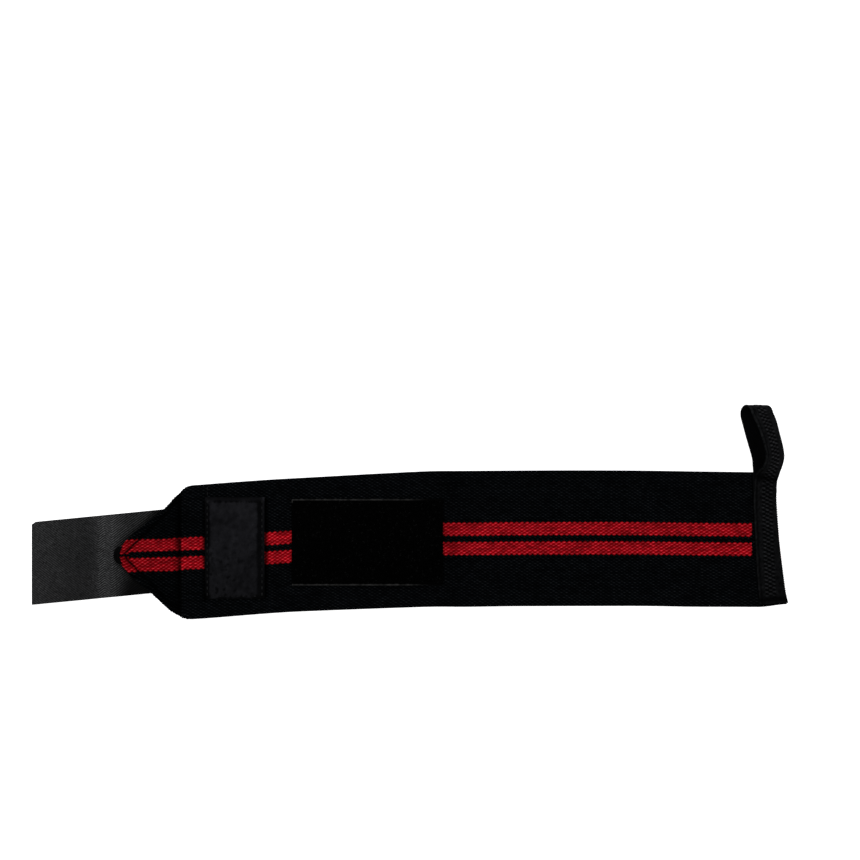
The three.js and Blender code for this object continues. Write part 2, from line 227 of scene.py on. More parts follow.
# Thumb loop's tape
WELD = 0.002 * MM
TAPE_RING = 8  # points in each ring of its solid
TAPE_CELL = 0.5 * MM
TAPE_ROWS = 33
TAPE_THICKNESS = 1.3 * MM
TAPE_ROUND = 0.45 * MM
PATH_SMOOTH = 9
CORD_INSET = 0.6 * MM  # from the tape's left edge to the ridge and the groove beside it
CORD_WIDTH = 0.6 * MM
CORD_HEIGHT = 0.18 * MM
GROOVE_INSET = 1.8 * MM
GROOVE_WIDTH = 0.5 * MM
GROOVE_DEPTH = 0.22 * MM
RIB_FROM = -2.7 * MM  # from the tape's middle to its first column of ribs
RIB_WIDTH = 2.2 * MM
RIB_COLUMNS = 3
RIB_PITCH = 2.4 * MM
RIB_HEIGHT = 0.22 * MM
RIB_SLANT = 0.25
RIB_EDGE = 2.2  # how abruptly a rib ends
HEM_LENGTH = 4.6 * MM
HEM_SEAM = 2.8 * MM  # from the hem's edge to the seam that holds it
HEM_SEAM_WIDTH = 1.7 * MM
HEM_SEAM_DEPTH = 0.3 * MM
HEM_TRIM = 1.5 * MM  # the hem's turned edge, short of the frame's end
TAPE_BEND = 75.5 * MM  # along the tape, to where it bends up off the band; a painted shadow lies across that bend
TAPE_BEND_WIDTH = 2.4 * MM
TAPE_LIGHT_RUN = 12 * MM  # past the bend, where the tape grows lighter
TAPE_WEAR = 0.28  # how uneven its tone is

# In mm: a length from the tape's hem, and its spread there left and right of its frame's middle
TAPE_SPREAD = [(0, 6.6, 10.8), (7, 6.8, 9.5), (16, 7.0, 8.8), (38, 7.3, 7.2), (60, 7.6, 6.2),
               (75, 7.5, 6.2), (90, 7.2, 8.2), (104, 7.2, 8.3), (114, 7.2, 9.4), (123, 7.6, 9.0),
               (134, 7.8, 6.6)]

# Materials
SLOPE_HEIGHT = 0.65  # how high in the weave a yarn's own colour shows
NOISE_RANGE = (0.3, 0.7)  # the noise that gives the patches' least and most tone
PATCH_DETAIL = 4
GRAIN_DETAIL = 3
GRAIN_SCALE = 1800.0
GRAIN_DEPTH = 0.3
GRAIN_HEIGHT = 0.15 * MM


def ease(share):
    t = np.clip(share, 0, 1)
    return t * t * (3 - 2 * t)


# Measuring the frame

def node_mesh(name):
    """Points and edges of a node"""
    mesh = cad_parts[name].data
    points = np.empty(len(mesh.vertices) * 3)
    mesh.vertices.foreach_get("co", points)
    edges = np.empty(len(mesh.edges) * 2, dtype=np.int64)
    mesh.edges.foreach_get("vertices", edges)
    return points.reshape(-1, 3), edges.reshape(-1, 2)


def outline(name, places, axis, across):
    """The node's lowest and highest value across, where it is cut at each place on an axis"""
    points, edges = node_mesh(name)
    start = points[edges[:, 0]]
    end = points[edges[:, 1]]
    low = []
    high = []
    for place in places:
        cut = (start[:, axis] - place) * (end[:, axis] - place) < 0
        a = start[cut]
        b = end[cut]
        share = (place - a[:, axis]) / (b[:, axis] - a[:, axis])
        values = a[:, across] + share * (b[:, across] - a[:, across])
        low.append(values.min())
        high.append(values.max())
    return np.array(low), np.array(high)


def smoothed(values, count):
    """Values averaged over their neighbours, with the ends held"""
    if count < 2:
        return values
    window = np.hanning(count + 2)[1:-1]
    padded = np.pad(values, count, mode="edge")
    return np.convolve(padded, window / window.sum(), mode="same")[count:-count]


class Lie:
    """How a flat node lies: its two long sides and its top face, for any place along X"""

    def __init__(self, name):
        low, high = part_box(name)
        self.start = low[0]
        self.end = high[0]
        count = int((self.end - self.start) / PROBE_STEP)
        self.x = np.linspace(self.start + PROBE_INSET, self.end - PROBE_INSET, count)
        self.low, self.high = outline(name, self.x, 0, 1)
        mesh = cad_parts[name].data
        faces = [tuple(face.vertices) for face in mesh.polygons]
        tree = BVHTree.FromPolygons([tuple(v.co) for v in mesh.vertices], faces)
        lines = self.top_lines(tree, high[2])
        self.middle, self.slope = (smoothed(values, PROBE_SMOOTH) for values in lines)

    def top_lines(self, tree, ceiling):
        middle = []
        slope = []
        for x, low, high in zip(self.x, self.low, self.high):
            ys = low + PROBES * (high - low)
            hits = [tree.ray_cast(Vector((x, y, ceiling + MM)), Vector((0, 0, -1))) for y in ys]
            found = [(y, hit[0].z) for y, hit in zip(ys, hits) if hit[0] is not None]
            ys = np.array([y for y, _ in found])
            zs = np.array([z for _, z in found])
            line = np.polyfit(ys - (low + high) / 2, zs, 1) if len(found) > 2 else (0, zs.mean())
            slope.append(line[0])
            middle.append(line[1])
        return np.array(middle), np.array(slope)

    def sides(self, x):
        return np.interp(x, self.x, self.low), np.interp(x, self.x, self.high)

    def top(self, x, y):
        low, high = self.sides(x)
        across = y - (low + high) / 2
        return np.interp(x, self.x, self.middle) + np.interp(x, self.x, self.slope) * across


# Making meshes

def new_object(name, data):
    thing = bpy.data.objects.new(name, data)
    bpy.context.scene.collection.objects.link(thing)
    return thing


def make_piece(name, points, faces, materials, slots=None, relief=0.5, tone=1.0):
    mesh = bpy.data.meshes.new(name)
    mesh.vertices.add(len(points))
    mesh.vertices.foreach_set("co", np.asarray(points, dtype=np.float32).ravel())
    corners = np.asarray(faces, dtype=np.int32)
    mesh.loops.add(corners.size)
    mesh.loops.foreach_set("vertex_index", corners.ravel())
    mesh.polygons.add(len(corners))
    mesh.polygons.foreach_set("loop_start", np.arange(0, corners.size, corners.shape[1], dtype=np.int32))
    if slots is not None:
        mesh.polygons.foreach_set("material_index", np.asarray(slots, dtype=np.int32))
    mesh.update(calc_edges=True)
    mesh.validate()
    mesh.polygons.foreach_set("use_smooth", np.full(len(mesh.polygons), True))
    for title, values in (("relief", relief), ("tone", tone)):
        filled = np.broadcast_to(np.asarray(values, dtype=np.float32).reshape(-1), len(points))
        mesh.attributes.new(title, "FLOAT", "POINT").data.foreach_set("value", np.ascontiguousarray(filled))
    for material in materials:
        mesh.materials.append(material)
    piece = new_object(name, mesh)
    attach(piece, "root")
    return piece


def quads(a, b, c, d):
    """Two triangles for each four corners"""
    return np.concatenate([np.stack([a, b, c], 1), np.stack([a, c, d], 1)])


def cells(columns, rows):
    """The column and the row of each cell in a grid"""
    i, j = np.indices((columns, rows))
    return i.ravel(), j.ravel()


def grid_faces(columns, rows):
    """Two triangles a cell, for points that run up each column in turn"""
    i, j = cells(columns - 1, rows - 1)
    a = i * rows + j
    b = a + rows
    return quads(a, b, b + 1, a + 1)


def slab(top, bottom):
    """A closed sheet between two grids of points of the same size: its points and faces"""
    columns, rows, _ = top.shape
    points = np.concatenate([top.reshape(-1, 3), bottom.reshape(-1, 3)])
    under = columns * rows
    upper = grid_faces(columns, rows)
    index = np.arange(under).reshape(columns, rows)
    rim = np.concatenate([index[:, 0], index[-1, 1:], index[-2::-1, -1], index[0, -2::-1]])
    a = rim[:-1]
    b = rim[1:]
    return points, np.concatenate([upper, upper[:, ::-1] + under, quads(a, a + under, b + under, b)])


def hidden_round(distance, radius):
    """How much of a sheet's half thickness is left, this far from its edge"""
    share = np.clip(1 - distance / radius, 0, 1)
    return np.sqrt(np.clip(1 - share * share, 0, 1))


# Materials

def new_material(name):
    material = bpy.data.materials.new(name)
    material.use_nodes = True
    nodes = material.node_tree.nodes
    return material, nodes, material.node_tree.links, nodes["Principled BSDF"]


def attribute(nodes, name):
    node = nodes.new("ShaderNodeAttribute")
    node.attribute_name = name
    return node.outputs["Fac"]


def set_inputs(node, values):
    for name, value in values.items():
        node.inputs[name].default_value = value


def noise(nodes, links, place, scale, detail):
    node = nodes.new("ShaderNodeTexNoise")
    set_inputs(node, {"Scale": scale, "Detail": detail})
    links.new(place, node.inputs["Vector"])
    return node.outputs["Fac"]


def colour_ramp(nodes, links, value, colours):
    """A colour for a height in the weave: painted shade in its hollows, the yarn's own colour on its slopes
    and a painted highlight on its tops
    """
    ramp = nodes.new("ShaderNodeValToRGB")
    ramp.color_ramp.elements.new(SLOPE_HEIGHT)
    for element, colour in zip(ramp.color_ramp.elements, colours):
        element.color = (*colour, 1)
    links.new(value, ramp.inputs["Fac"])
    return ramp.outputs["Color"]


def cloth(name, colours, roughness, specular, mottle=0.2, patches=60.0):
    """Yarn, with painted shade in its hollows and painted highlights on its tops, uneven patches and a fine
    grain.
    The mesh's relief says how high a place is in the weave, and its tone how light it is, painted shade and
    sheen included."""
    material, nodes, links, shader = new_material(name)
    place = nodes.new("ShaderNodeTexCoord").outputs["Object"]
    spread = nodes.new("ShaderNodeMapRange")
    set_inputs(spread, {"From Min": NOISE_RANGE[0], "From Max": NOISE_RANGE[1],
                        "To Min": 1 - mottle, "To Max": 1 + mottle})
    links.new(noise(nodes, links, place, patches, PATCH_DETAIL), spread.inputs["Value"])
    level = nodes.new("ShaderNodeMath")
    level.operation = "MULTIPLY"
    links.new(spread.outputs["Result"], level.inputs[0])
    links.new(attribute(nodes, "tone"), level.inputs[1])
    tint = nodes.new("ShaderNodeVectorMath")
    tint.operation = "SCALE"
    links.new(colour_ramp(nodes, links, attribute(nodes, "relief"), colours), tint.inputs["Vector"])
    links.new(level.outputs["Value"], tint.inputs["Scale"])
    links.new(tint.outputs["Vector"], shader.inputs["Base Color"])
    bump = nodes.new("ShaderNodeBump")
    set_inputs(bump, {"Strength": GRAIN_DEPTH, "Distance": GRAIN_HEIGHT})
    links.new(noise(nodes, links, place, GRAIN_SCALE, GRAIN_DETAIL), bump.inputs["Height"])
    links.new(bump.outputs["Normal"], shader.inputs["Normal"])
    set_inputs(shader, {"Roughness": roughness, "Specular IOR Level": specular})
    return material


# The colours of each: painted shade in its hollows, its own colour on its slopes and a painted highlight on
# its tops; its roughness and its specular
black_yarn = cloth("black_yarn", [(.0001, .0001, .0003), (.0013, .0018, .0023), (.0124, .0124, .0126)],
                   0.85, 0.003)
red_yarn = cloth("red_yarn", [(.10, .0001, .0006), (.28, .0014, .0058), (.53, .058, .074)], 0.8, 0.006,
                 mottle=0.08)
hook_satin = cloth("hook_satin", [(.002, .0021, .0024), (.028, .0283, .0292), (.078, .0785, .0803)],
                   0.6, 0.015, mottle=0.08)
hook_nylon = cloth("hook_nylon", [(.004, .004, .0045), (.006, .006, .007), (.008, .0075, .009)], 0.4, 0.2)
label_cloth = cloth("label_cloth", [(.0010, .0010, .0012), (.0055, .0055, .0064), (.0088, .0088, .0104)],
                    0.7, 0.008, mottle=0.25, patches=260.0)
pile_fuzz = cloth("pile_fuzz", [(.0002, .0002, .0002), (.0009, .0009, .0009), (.013, .0138, .0134)],
                  1.0, 0.0)
selvedge_yarn = cloth("selvedge_yarn", [(.004, .004, .004), (.009, .009, .009), (.0135, .0132, .0130)],
                      0.7, 0.01, mottle=0.55, patches=330.0)
tape_yarn = cloth("tape_yarn", [(.0001, .0001, .0002), (.0056, .0058, .0062), (.0138, .0140, .0151)],
                  0.75, 0.005)
# the tape's inner face: a darker copy of the tape yarn, as painted shade
shaded_tape_inside = cloth("shaded_tape_inside", [(.0006, .0006, .0007), (.0026, .0026, .0030), (.0050, .0050, .0056)],
                    0.9, 0.0)
thread = cloth("thread", [(.002, .002, .0022), (.008, .0082, .0088), (.0150, .0152, .0162)], 0.5, 0.02)
dark_thread = cloth("dark_thread", [(.0002, .0002, .0003), (.0010, .0010, .0011), (.0022, .0021, .0022)],
                    0.6, 0.005)


# Elastic band

def hollow(distance, width):
    """1 at a groove's bottom, and 0 well away from it"""
    return np.exp(-(distance / width) ** 2)


class Band:
    """The band in its own terms: along from the point, across from the centreline"""

    def __init__(self):
        self.lie = Lie("elastic_band")
        low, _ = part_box("elastic_band")
        self.start = low[0]
        self.half = float(np.max(self.lie.high - self.lie.low)) / 2
        near_end = len(self.lie.x) - END_STATIONS
        self.ends_y = np.linspace(self.lie.low[near_end] + MM, self.lie.high[near_end] - MM, END_PLACES)
        _, self.ends_x = outline("elastic_band", self.ends_y, 1, 0)
        self.length = self.ends_x.min() - self.start
        shoulder = self.start + CENTRE_FROM
        self.centre_places = np.array([shoulder, shoulder + CENTRE_RUN])
        low, high = self.lie.sides(self.centre_places)
        self.centre_values = (low + high) / 2

    def flare(self, across):
        """How far the sewn end lies past its shortest place, for a place across the band"""
        middle = (self.ends_y[0] + self.ends_y[-1]) / 2
        ends = smoothed(self.ends_x, END_SMOOTH)
        return np.interp(across + middle, self.ends_y, ends) - self.start - self.length

    def fold(self, along, across, radius):
        """Folds the point: returns the place in plan and the height from the top face"""
        reach = np.array([TIP_LENGTH, self.half - TIP_HALF])
        reach = reach / np.linalg.norm(reach)
        beyond = -along * reach[1] + (np.abs(across) - TIP_HALF) * reach[0]
        run = beyond + FOLD_OUTER
        turn = np.clip(run / FOLD_MIDDLE, 0, math.pi)
        under = np.maximum(run - math.pi * FOLD_MIDDLE, 0)
        shift = np.where(run > 0, radius * np.sin(turn) - under - FOLD_OUTER - beyond, 0)
        side = np.sign(across)
        height = radius * np.cos(turn) - FOLD_OUTER
        return along - shift * reach[1], across + side * shift * reach[0], height

    def stretch(self, along, across):
        """How much wider the frame is here than the straight folds make it"""
        x = self.start + along
        low, high = self.lie.sides(x)
        slope = (self.half - TIP_HALF) / TIP_LENGTH
        straight = np.minimum(TIP_HALF + slope * along, self.half)
        centre = self.centre(x)
        return np.where(across > 0, (high - centre) / straight, (centre - low) / straight)

    def centre(self, x):
        """The centreline. In the point it runs straight on from past the shoulders."""
        from_x, to_x = self.centre_places
        from_y, to_y = self.centre_values
        low, high = self.lie.sides(x)
        ahead = from_y + (x - from_x) * (to_y - from_y) / (to_x - from_x) * CENTRE_TURN
        return np.where(x < from_x, ahead, (low + high) / 2)

    def place(self, along, across, radius):
        """Points in space, for places on the cloth and how far out from its fold they lie"""
        near_end = ease((along - self.length + FLARE_RUN) / FLARE_RUN)
        flared = along + self.flare(across) * near_end
        plan_along, plan_across, height = self.fold(flared, across, radius)
        x = self.start + plan_along
        inside = np.clip(plan_along, 0, self.length)
        whole = np.minimum(x, self.start + self.length)
        nose = 1 - NOSE_SHARE * hollow(inside, NOSE_RUN)
        y = self.centre(whole) + plan_across * self.stretch(inside, plan_across) * nose
        below = np.clip(-plan_across / self.half, 0, 1) ** 2
        y = y + CORNER_LIFT * below * ease((along - self.length + CORNER_LENGTH) / CORNER_LENGTH)
        off_middle = np.clip(np.abs(plan_across) / self.half, 0, 1)
        y = y - STRIPE_DIP * hollow(x - STRIPE_DIP_X, STRIPE_DIP_RUN) * (1 - off_middle ** 2)
        z = self.lie.top(whole, y) + height
        return np.stack([x, y, z], -1)


band = Band()


def is_striped(row):
    from_middle = np.abs(row + 0.5 - BEAD_ROWS / 2)
    return (from_middle > STRIPE_FIRST_ROW) & (from_middle < STRIPE_FIRST_ROW + STRIPE_ROWS)


def beads(columns, rows):
    """For lattice places: how high on a bead, the bead's row, and its number there"""
    u = columns / BEAD_COLUMNS
    v = (rows - 1) / 2
    best = np.full(np.broadcast(u, v).shape, np.inf)
    leaning = best.copy()
    owner = np.zeros(best.shape, dtype=int)
    number = np.zeros(best.shape, dtype=int)
    for step in (0, 1):
        row = (np.floor(v) + step).astype(int)
        offset = 0.5 * (row % 2)
        nearest = np.round(u - offset)
        off = u - offset - nearest
        lean = BEAD_LEAN * (v - row) * np.where(is_striped(row), 1, -1)
        share = 2 * np.abs(off) + np.abs(v - row)
        owner = np.where(share < best, row, owner)
        number = np.where(share < best, nearest, number).astype(int)
        leaning = np.where(share < best, 2 * np.abs(off - lean) + np.abs(v - row), leaning)
        best = np.minimum(best, share)
    return 1 - np.clip(leaning, 0, 1) ** 2, owner, number


def weave_faces(columns, rows):
    """Two triangles a cell, cut along the sides of the beads, and their middles"""
    i, j = cells(columns - 1, rows - 1)
    a = i * rows + j
    b = a + rows
    falling = (i // 2 + (j + 1) // 2) % 2 == 1
    first = np.stack([a, b, np.where(falling, a + 1, b + 1)], 1)
    second = np.stack([np.where(falling, b, a), b + 1, a + 1], 1)
    near = 1 / 3
    far = 2 / 3
    first_middles = np.stack([i + np.where(falling, near, far), j + near], 1)
    second_middles = np.stack([i + np.where(falling, far, near), j + far], 1)
    return np.concatenate([first, second]), np.concatenate([first_middles, second_middles])


def from_seam(along, across):
    """Distance from the V-shaped seam inside the point's folds, and if that is on the folds' side"""
    start = np.array(SEAM_START)
    way = np.array(SEAM_END) - start
    run = np.linalg.norm(way)
    way = way / run
    off_along = along - start[0]
    off_across = np.abs(across) - start[1]
    ahead = np.clip(off_along * way[0] + off_across * way[1], 0, run)
    outside = (off_across * way[0] > off_along * way[1]) & (along < SEAM_END[0])
    return np.hypot(off_along - ahead * way[0], off_across - ahead * way[1]), outside


def crease_depth(along):
    """1 in the crease at the flaps' ends. It starts slowly and stops at once."""
    past = along - CREASE_ALONG
    return np.where(past < 0, hollow(past, CREASE_BEFORE), hollow(past, CREASE_AFTER))


def beside_label(along, across):
    """1 beside the ends of the label, where painted shade falls on the band"""
    low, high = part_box("label")
    x = band.start + along
    near = hollow(x - low[0], EDGE_SHADE) + hollow(x - high[0] - EDGE_SHADE_SHIFT, EDGE_SHADE)
    return near * (np.abs(across) < (high[1] - low[1]) / 2)


def band_tone(along, across):
    """How light the band is: painted shade in its seams and creases, over the folded point and beside what
    is sewn on it
    """
    distance, outside = from_seam(along, across)
    seam = 1 - SEAM_SHADE * hollow(distance, SEAM_WIDTH)
    flap = np.where(outside, FLAP_TONE, 1.0)
    flap = flap * np.where(along < CREASE_ALONG, POINT_TONE, 1.0)
    crease = 1 - CREASE_SHADE * crease_depth(along)
    label = 1 - LABEL_SHADE * beside_label(along, across)
    patch = 1 - PATCH_SHADE * hollow(along - PATCH_SHADE_ALONG, PATCH_SHADE_RUN)
    tape = np.where(band.start + along > STRIPE_END_X, TAPE_SHADE, 1.0)
    return seam * flap * crease * label * patch * tape


def red_faces(middles, step):
    """True for the faces of the stripes, which run closer together in the point"""
    _, owner, _ = beads(middles[:, 0], middles[:, 1])
    in_point = TIP_RAW_END + middles[:, 0] * step < TIP_GAP_RUN
    outwards_of = np.sign(owner + 0.5 - BEAD_ROWS / 2)
    return is_striped(owner) | (in_point & is_striped(owner + outwards_of))


def on_band(along, across, radius=FOLD_OUTER):
    """Points on the band's outer face, or as far out from its fold as radius says"""
    along, across = np.broadcast_arrays(np.asarray(along, float), np.asarray(across, float))
    return band.place(along, across, radius)


def band_surface(name, radius, outwards):
    """One face of the band, as a lattice of beads"""
    step = BEAD_PITCH / BEAD_COLUMNS
    columns = int(round((band.length - TIP_RAW_END) / step)) + 1
    rows = 2 * BEAD_ROWS + 1
    along = np.linspace(TIP_RAW_END, band.length, columns)[:, None]
    across = np.linspace(-band.half, band.half, rows)[None, :]
    relief, row, number = beads(np.arange(columns)[:, None], np.arange(rows)[None, :])
    rng = np.random.default_rng(SEED)
    bead_light = rng.uniform(*BEAD_LIGHT, (columns, BEAD_ROWS + SPARE_ROWS))[number, row + 1]
    tone = bead_light * rng.uniform(*ROW_LIGHT, BEAD_ROWS + SPARE_ROWS)[row + 1]
    from_ends = np.minimum(band.length - along, along - TIP_RAW_END)
    left = hidden_round(np.minimum(band.half - np.abs(across), from_ends), SELVEDGE_ROUND)
    pressed = SEAM_DEPTH * hollow(from_seam(along, across)[0], SEAM_WIDTH)
    pressed = pressed + CREASE_DEPTH * crease_depth(along)
    bulge = ((relief * bead_light - BEAD_LEVEL) * BEAD_HEIGHT - pressed) * left
    level = FOLD_MIDDLE + (radius - FOLD_MIDDLE) * left + bulge * (1 if outwards else -1)
    points = on_band(along, across, level).reshape(-1, 3)
    faces, middles = weave_faces(columns, rows)
    red = red_faces(middles, step)
    if outwards:
        # the stripes stop short of the loop's tape: black yarn there is painted shadow beside the tape
        red = red & (points[faces].mean(1)[:, 0] < STRIPE_END_X)
        # painted shade on the band's face
        tone = tone * band_tone(along, across)
    else:
        faces = faces[:, ::-1]
    piece = make_piece(name, points, faces, [black_yarn, red_yarn], red, relief, tone)
    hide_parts("elastic_band")
    return piece


band_face = band_surface("band_face", FOLD_OUTER, True)
band_back = band_surface("band_back", FOLD_INNER, False)


# Threads

def tube_faces(rings, sides):
    """Faces of one closed tube whose ends are drawn together"""
    ring = np.arange(rings - 1)[:, None] * sides
    side = np.arange(sides)[None, :]
    a = (ring + side).ravel()
    b = (ring + (side + 1) % sides).ravel()
    fan = np.arange(1, sides - 1)
    first = np.stack([np.zeros_like(fan), fan + 1, fan], 1)
    last = np.stack([np.zeros_like(fan), fan, fan + 1], 1) + (rings - 1) * sides
    return np.concatenate([quads(a, b, b + sides, a + sides), first, last])


def tubes(lines, radii, sides):
    """Points and faces of many tubes. Lines is tubes x rings x 3, radii matches it."""
    count, rings, _ = lines.shape
    ahead = np.gradient(lines, axis=1)
    ahead = ahead / np.linalg.norm(ahead, axis=2)[..., None]
    up = np.zeros_like(ahead)
    up[..., 2] = 1
    wide = np.cross(ahead, up)
    wide[np.linalg.norm(wide, axis=2) < UPRIGHT] = (1, 0, 0)
    wide = wide / np.linalg.norm(wide, axis=2)[..., None]
    normal = np.cross(wide, ahead)
    angle = 2 * math.pi * np.arange(sides) / sides
    spoke = wide[:, :, None] * np.cos(angle)[:, None] + normal[:, :, None] * np.sin(angle)[:, None]
    points = lines[:, :, None] + spoke * radii[..., None, None]
    faces = tube_faces(rings, sides)[None] + (np.arange(count) * rings * sides)[:, None, None]
    return points.reshape(-1, 3), faces.reshape(-1, 3)


def path_lengths(path):
    """The length along a path, at each of its points"""
    return np.concatenate([[0], np.cumsum(np.linalg.norm(np.diff(path, axis=0), axis=1))])


def points_at(at, lengths, path):
    return np.stack([np.interp(at, lengths, path[:, k]) for k in range(3)], -1)


def stitches(path, pitch, length, radius, bury=0.25 * MM, lift=0.1 * MM, side=1):
    """Stitches along a path on a surface: the centrelines and radii of their threads.
    Side is 1 on an upper surface and -1 on an underside."""
    lengths = path_lengths(path)
    count = max(1, int(lengths[-1] / pitch))
    starts = (np.arange(count) + 0.5) * lengths[-1] / count - length / 2
    share = np.linspace(0, 1, STITCH_RINGS)
    lines = points_at(starts[:, None] + share[None, :] * length, lengths, path)
    arch = np.sin(math.pi * share)
    lines[..., 2] += side * ((lift + bury) * arch ** 0.5 - bury)
    radii = radius * (THREAD_ENDS + (1 - THREAD_ENDS) * arch)
    return lines, np.broadcast_to(radii, lines.shape[:2])


def thread_piece(name, rows, material, tone):
    lines = np.concatenate([line for line, _ in rows])
    radii = np.concatenate([radius for _, radius in rows])
    points, faces = tubes(lines, radii, THREAD_SIDES)
    rng = np.random.default_rng(SEED)
    tones = np.repeat(rng.uniform(*THREAD_LIGHT, len(lines)) * tone, STITCH_RINGS * THREAD_SIDES)
    piece = make_piece(name, points, faces, [material], relief=THREAD_RELIEF, tone=tones)
    return piece


def row_across(along, radius):
    """A path across the whole band"""
    half = band.half - ROW_MARGIN
    return on_band(along, np.linspace(-half, half, ROW_POINTS), radius)


def v_seam(radius):
    """The two sides of the V seam inside the folds"""
    share = np.linspace(0, 1, SEAM_POINTS)[:, None]
    plan = np.array(SEAM_START) + share * (np.array(SEAM_END) - np.array(SEAM_START))
    return [on_band(plan[:, 0], side * plan[:, 1], radius) for side in (-1, 1)]


def point_seams():
    """The V seam inside the folds, and the row across the flaps' ends"""
    rows = [stitches(path, pitch=2.6 * MM, length=2.9 * MM, radius=0.26 * MM)
            for path in v_seam(FOLD_OUTER - SEAM_SUNK)]
    crease = row_across(CREASE_ALONG, FOLD_OUTER - CREASE_SUNK)
    rows.append(stitches(crease, pitch=2.8 * MM, length=2.1 * MM, radius=0.22 * MM))
    return thread_piece("point_seams", rows, dark_thread, tone=0.6)


def end_bar():
    """The thick bar of thread that closes the blunt point, in arcs that lie round it"""
    share = np.linspace(-1, 1, STITCH_RINGS)
    back = np.linspace(0, 1, BAR_THREADS)[:, None]
    rise = np.random.default_rng(SEED).uniform(*BAR_RISE, (BAR_THREADS, 1))
    top = on_band(BAR_LENGTH, 0.0)
    lines = np.stack([
        band.start + BAR_LENGTH * back + BAR_BULGE * share ** 2,
        top[1] + BAR_HALF * share * (BAR_FRONT + (1 - BAR_FRONT) * back),
        top[2] + rise - BAR_DROP * (1 - back) ** 2 - BAR_END_DROP * share ** 4,
    ], -1)
    radii = np.broadcast_to(BAR_RADIUS * (1 - BAR_TAPER * share ** 4), lines.shape[:2])
    return thread_piece("end_bar", [(lines, radii)], dark_thread, tone=1.3)


# Flat pieces sewn on the band

def edge_distance(lie, x, y):
    low, high = lie.sides(x)
    return np.minimum(np.minimum(x - lie.start, lie.end - x), np.minimum(y - low, high - y))


def sheet_grid(lie, cell, corner):
    """A grid of places over a flat node. Corner is how much of its upper left corner is cut off."""
    columns = int((lie.end - lie.start) / cell) + 1
    x = np.linspace(lie.start, lie.end, columns)[:, None]
    low, high = lie.sides(x)
    high = high - corner * np.clip(1 - (x - lie.start) / (CORNER_SLANT * corner), 0, 1)
    rows = int((high - low).mean() / cell) + 1
    y = low + np.linspace(0, 1, rows)[None, :] * (high - low)
    return np.broadcast_to(x, y.shape), y


def with_back(values, level):
    """Values over a sheet's top, and one level over its back"""
    return np.concatenate([values.ravel(), np.full(values.size, level)])


def sheet_piece(node, name, thickness, cell, look, material, corner=0.01 * MM):
    """A flat node as a closed sheet. Look gives the lift, the relief and the tone of places."""
    lie = Lie(node)
    x, y = sheet_grid(lie, cell, corner)
    lift, relief, tone = look(lie, x, y)
    left = hidden_round(edge_distance(lie, x, y), SHEET_ROUND)
    middle = lie.top(x, y) - thickness / 2
    top = np.stack([x, y, middle + (thickness / 2 + lift) * left], -1)
    bottom = np.stack([x, y, middle - thickness / 2 * left], -1)
    points, faces = slab(top, bottom)
    piece = make_piece(name, points, faces, [material], relief=with_back(relief, BACK_LEVEL),
                       tone=with_back(tone, BACK_LEVEL))
    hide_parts(node)
    return piece, lie


def from_point(x, y):
    """How far a place on the tab is from the folded point that lies over it"""
    along = x - band.start
    across = y - band.centre(x)
    slope = (band.half - TIP_HALF) / TIP_LENGTH
    from_fold = (np.abs(across) - TIP_HALF - slope * along) / math.hypot(1, slope)
    return np.maximum(np.maximum(from_fold, -AHEAD_WEIGHT * along), 0)


def tab_look(lie, x, y):
    """Fine twill, which changes sides near the point, with a painted sheen as of shallow waves and painted
    shade under and beside the point
    """
    from_end = x - lie.start
    first, second, third = TWILL_TURNS
    rising = np.where(from_end < second, 2 * first - from_end, 2 * (first - second) + from_end)
    run = np.where(from_end < first, from_end, rising)
    run = np.where(from_end < third, run, 2 * (first - second + third) - from_end)
    wave = np.sin(2 * math.pi * (run / TWILL_ALONG + y / TWILL_ACROSS))
    low, high = lie.sides(x)
    down = (high - y) / (high - low)
    sheen = SHEEN_END - (SHEEN_END - SHEEN_LEAST) * np.clip(from_end / SHEEN_RUN, 0, 1)
    sheen = sheen + SHEEN_CREST * hollow(from_end - CREST_AT, CREST_WIDTH)
    shade = 1 - POINT_SHADE * ease((from_end + SHADE_SKEW * down - SHADE_FROM) / SHADE_RUN)
    shade = shade * (1 - CONTACT_SHADE * hollow(from_point(x, y), CONTACT_RUN))
    rim = 1 - TAB_RIM_SHADE * hollow(np.minimum(y - low, high - y), TAB_RIM)
    rng = np.random.default_rng(SEED)
    grain = np.clip(1 + TAB_GRAIN * patchy(x.shape, 2, rng), 0.1, 2)
    tone = sheen * shade * rim * (1 - TAB_DOWN_SHADE * down) * grain
    return TWILL_HEIGHT * wave, 0.5 + 0.5 * wave, tone


def patchy(shape, size, rng):
    """Smooth uneven values over a grid, about one up or down, for blotches, uneven tones and ragged
    outlines
    """
    values = rng.standard_normal(shape)
    for axis in (0, 1):
        values = np.apply_along_axis(smoothed, axis, values, size)
    return values / values.std()


def panel_inset(lie, x, y):
    """How far inside the label's panel a place is"""
    low, high = lie.sides(x)
    return np.minimum(np.minimum(x - lie.start - PANEL_LEFT, lie.end - x - PANEL_RIGHT),
                      np.minimum(high - y - PANEL_TOP, y - low - PANEL_BOTTOM))


def label_holes(lie, x, y):
    """1 in the needle holes along the label's ends, which are darkened with painted shade"""
    low, high = lie.sides(x)
    across = hollow(((x / HOLE_PITCH) % 1 - 0.5) * HOLE_PITCH, HOLE_SIZE)
    down = hollow(high - y - LABEL_TOP_SEAM, HOLE_SIZE)
    return across * (down + hollow(y - low - LABEL_BOTTOM_SEAM, HOLE_SIZE))


